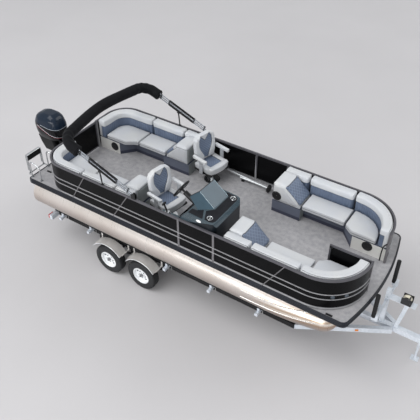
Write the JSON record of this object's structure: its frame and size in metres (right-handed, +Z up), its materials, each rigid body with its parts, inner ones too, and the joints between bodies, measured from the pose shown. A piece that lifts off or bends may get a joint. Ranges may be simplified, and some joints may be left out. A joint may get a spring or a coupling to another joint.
{
  "type": "pontoon boat on trailer",
  "caption": "Pontoon boat on round tubes with fenced deck, lounges, helm, swivel chairs, folded top and outboard, standing on a bunk trailer with its wheels and tongue jack.",
  "frame": {"origin": "centre of the footprint, on the ground between the tyres and the jack's foot", "axes": "+X towards the bow and the trailer's coupler, +Y to port, +Z up"},
  "size_m": [9.672, 2.75, 3.2812],
  "materials": {
    "tube_aluminium": "brushed marine aluminium with a warm silver cast",
    "deck_vinyl": "light grey woven vinyl floor covering",
    "trim_black": "black ribbed rub rail over an aluminium edge",
    "mill_aluminium": "mill finish extrusion",
    "rail_grey": "dark grey powder coat",
    "panel_black": "gloss black coil-coated sheet",
    "base_grey": "light grey rotomoulded seat base",
    "seat_vinyl": "light grey marine vinyl",
    "accent_vinyl": "slate blue marine vinyl",
    "console_teal": "dark blue-green gelcoat",
    "screen_acrylic": "tinted acrylic",
    "control_black": "soft black moulding",
    "chrome": "polished",
    "stainless": "polished stainless tube",
    "chair_frame": "dark powder coat",
    "boot_fabric": "black woven acrylic canvas",
    "bimini_tube": "bright anodised tube with dark sleeves",
    "bracket_black": "black powder coat",
    "motor_black": "black gloss enamel",
    "cowl_black": "blue-black gloss moulding",
    "prop_black": "black enamel",
    "galvanised": "galvanised steel",
    "bunk_carpet": "black bunk carpet on timber",
    "axle_black": "black paint",
    "fender_aluminium": "polished aluminium sheet",
    "tyre": "black rubber",
    "wheel_white": "white enamel",
    "lens_red": "red lens",
    "post_pad": "black ribbed sleeve"
  },
  "bodies": {
    "root": {"outer_pontoons": "tube_aluminium", "centre_pontoon": "tube_aluminium", "deck": "deck_vinyl", "deck_trim": "trim_black", "deck_beams": "mill_aluminium", "motor_pod": "mill_aluminium", "fence_frame_starboard": "rail_grey", "fence_frame_port": "rail_grey", "fence_panels_starboard": "panel_black", "fence_panels_port": "panel_black", "aft_lounge_bases": "base_grey", "bow_lounge_bases": "base_grey", "aft_lounge_seats": "seat_vinyl", "aft_lounge_backs": "seat_vinyl", "bow_lounge_seats": "seat_vinyl", "bow_lounge_backs": "seat_vinyl", "aft_arm_rests": "seat_vinyl", "bow_chaise_backs": "seat_vinyl", "helm_console": "console_teal", "windscreen": "screen_acrylic", "throttle": "control_black", "chair_pedestals": "chrome", "ladder_handrails": "stainless", "table_pedestal": "stainless", "bimini_mounts": "bracket_black", "motor_clamps": "bracket_black", "trailer_frame": "galvanised", "bunk_brackets": "galvanised", "coupler": "galvanised", "winch_stand": "galvanised", "bunks": "bunk_carpet", "axles": "axle_black", "leaf_springs": "axle_black", "winch": "axle_black", "fenders": "fender_aluminium", "trailer_lights": "lens_red", "bow_posts": "post_pad"},
    "wheel_rear_starboard": {"tyre_rear_starboard": "tyre", "wheel_rear_starboard": "wheel_white"},
    "wheel_front_starboard": {"tyre_front_starboard": "tyre", "wheel_front_starboard": "wheel_white"},
    "wheel_rear_port": {"tyre_rear_port": "tyre", "wheel_rear_port": "wheel_white"},
    "wheel_front_port": {"tyre_front_port": "tyre", "wheel_front_port": "wheel_white"},
    "swivel": {"motor_swivel": "motor_black"},
    "motor": {"motor_leg": "motor_black", "motor_cowl": "cowl_black"},
    "propeller": {"propeller": "prop_black"},
    "helm_wheel": {"helm_wheel": "control_black"},
    "helm_chair": {"helm_chair_frame": "chair_frame", "helm_chair_cushions": "seat_vinyl"},
    "companion_chair": {"companion_chair_frame": "chair_frame", "companion_chair_cushions": "seat_vinyl"},
    "bimini": {"bimini_arms": "bimini_tube", "bimini_boot": "boot_fabric"},
    "bow_gate": {"bow_gate": "panel_black"},
    "stern_gate": {"stern_gate": "panel_black"},
    "ladder": {"boarding_ladder": "stainless"},
    "jack": {"tongue_jack": "galvanised"}
  },
  "joints": [
    {"name": "spin_rear_starboard", "type": "hinge", "parent": "root", "child": "wheel_rear_starboard", "pos_m": [-1.976, -1.166, 0.345], "axis": [0, 1, 0], "continuous": true},
    {"name": "spin_front_starboard", "type": "hinge", "parent": "root", "child": "wheel_front_starboard", "pos_m": [-1.108, -1.166, 0.345], "axis": [0, 1, 0], "continuous": true},
    {"name": "spin_rear_port", "type": "hinge", "parent": "root", "child": "wheel_rear_port", "pos_m": [-1.976, 1.166, 0.345], "axis": [0, 1, 0], "continuous": true},
    {"name": "spin_front_port", "type": "hinge", "parent": "root", "child": "wheel_front_port", "pos_m": [-1.108, 1.166, 0.345], "axis": [0, 1, 0], "continuous": true},
    {"name": "motor_tilt", "type": "hinge", "parent": "root", "child": "swivel", "pos_m": [-4.066, 0, 1.8], "axis": [0, 1, 0], "range_deg": [0, 60]},
    {"name": "motor_steer", "type": "hinge", "parent": "swivel", "child": "motor", "pos_m": [-4.151, 0, 1.8], "axis": [0, 0, 1], "range_deg": [-30, 30]},
    {"name": "propeller_spin", "type": "hinge", "parent": "motor", "child": "propeller", "pos_m": [-4.541, 0, 0.77], "axis": [1, 0, 0], "continuous": true},
    {"name": "helm_turn", "type": "hinge", "parent": "root", "child": "helm_wheel", "pos_m": [-0.336, -0.78, 2.65], "axis": [-0.848, 0, 0.5299], "range_deg": [-720, 720]},
    {"name": "helm_chair_turn", "type": "hinge", "parent": "root", "child": "helm_chair", "pos_m": [-0.741, -0.66, 2.02], "axis": [0, 0, 1], "range_deg": [-90, 90]},
    {"name": "companion_chair_turn", "type": "hinge", "parent": "root", "child": "companion_chair", "pos_m": [-0.706, 0.8, 2.02], "axis": [0, 0, 1], "continuous": true},
    {"name": "bimini_raise", "type": "hinge", "parent": "root", "child": "bimini", "pos_m": [-1.076, 0, 2.482], "axis": [0, 1, 0], "range_deg": [0, 75]},
    {"name": "bow_gate_swing", "type": "hinge", "parent": "root", "child": "bow_gate", "pos_m": [3.236, -0.38, 2.07], "axis": [0, 0, -1], "range_deg": [0, 90]},
    {"name": "stern_gate_swing", "type": "hinge", "parent": "root", "child": "stern_gate", "pos_m": [-3.468, 0.37, 2.07], "axis": [0, 0, 1], "range_deg": [0, 90]},
    {"name": "ladder_fold", "type": "hinge", "parent": "root", "child": "ladder", "pos_m": [-4.011, -0.985, 1.756], "axis": [0, -1, 0], "range_deg": [0, 180]},
    {"name": "jack_swing", "type": "hinge", "parent": "root", "child": "jack", "pos_m": [4.264, 0.14, 0.705], "axis": [0, -1, 0], "range_deg": [0, 90]}
  ],
  "couplings": [
    {"joint": "helm_turn", "follows": "motor_steer", "ratio": 24}
  ]
}
